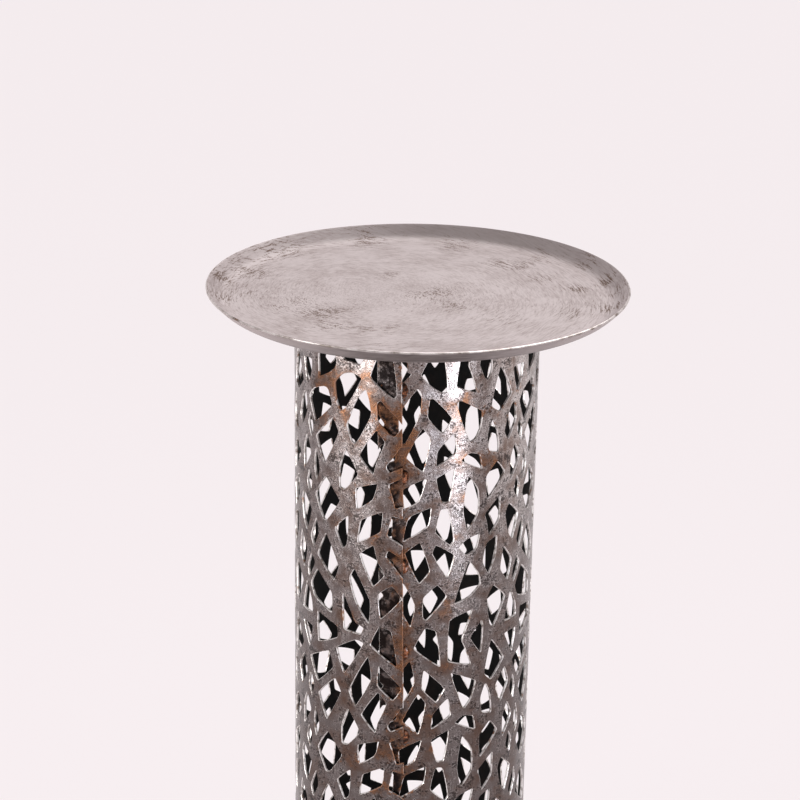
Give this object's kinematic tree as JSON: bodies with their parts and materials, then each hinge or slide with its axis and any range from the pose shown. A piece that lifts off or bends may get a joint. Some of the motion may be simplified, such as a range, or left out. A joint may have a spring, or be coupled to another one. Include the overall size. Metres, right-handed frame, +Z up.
{
  "type": "candle stand",
  "caption": "Floor candle stand with a shallow round dish on a rolled openwork steel column and a matching round foot.",
  "frame": {"origin": "centre of the floor pads' footprint, on the column's axis, at floor level", "axes": "+Z up along the column's axis, -Y towards the column's lap seam, which is the pictured side"},
  "size_m": [0.24, 0.24, 0.4506],
  "materials": {
    "brushed_silver_paint": "warm silver paint, dry-brushed dark",
    "antique_silver_patina": "antique silver with a dark wash and copper stains",
    "copper_braze": "rough, heat-stained",
    "black_rubber": "matt"
  },
  "bodies": {
    "root": {"candle_dish": "brushed_silver_paint", "openwork_column": "antique_silver_patina", "foot_dish": "brushed_silver_paint", "dish_tack_1": "copper_braze", "dish_tack_2": "copper_braze", "dish_tack_3": "copper_braze", "dish_tack_4": "copper_braze", "dish_tack_5": "copper_braze", "dish_tack_6": "copper_braze", "foot_tack_1": "copper_braze", "foot_tack_2": "copper_braze", "foot_tack_3": "copper_braze", "foot_tack_4": "copper_braze", "foot_tack_5": "copper_braze", "foot_tack_6": "copper_braze", "seam_tack_1": "copper_braze", "seam_tack_2": "copper_braze", "seam_tack_3": "copper_braze", "seam_tack_4": "copper_braze", "seam_tack_5": "copper_braze", "seam_tack_6": "copper_braze", "seam_tack_7": "copper_braze", "seam_tack_8": "copper_braze", "floor_pad_1": "black_rubber", "floor_pad_2": "black_rubber", "floor_pad_3": "black_rubber", "floor_pad_4": "black_rubber"}
  },
  "joints": []
}
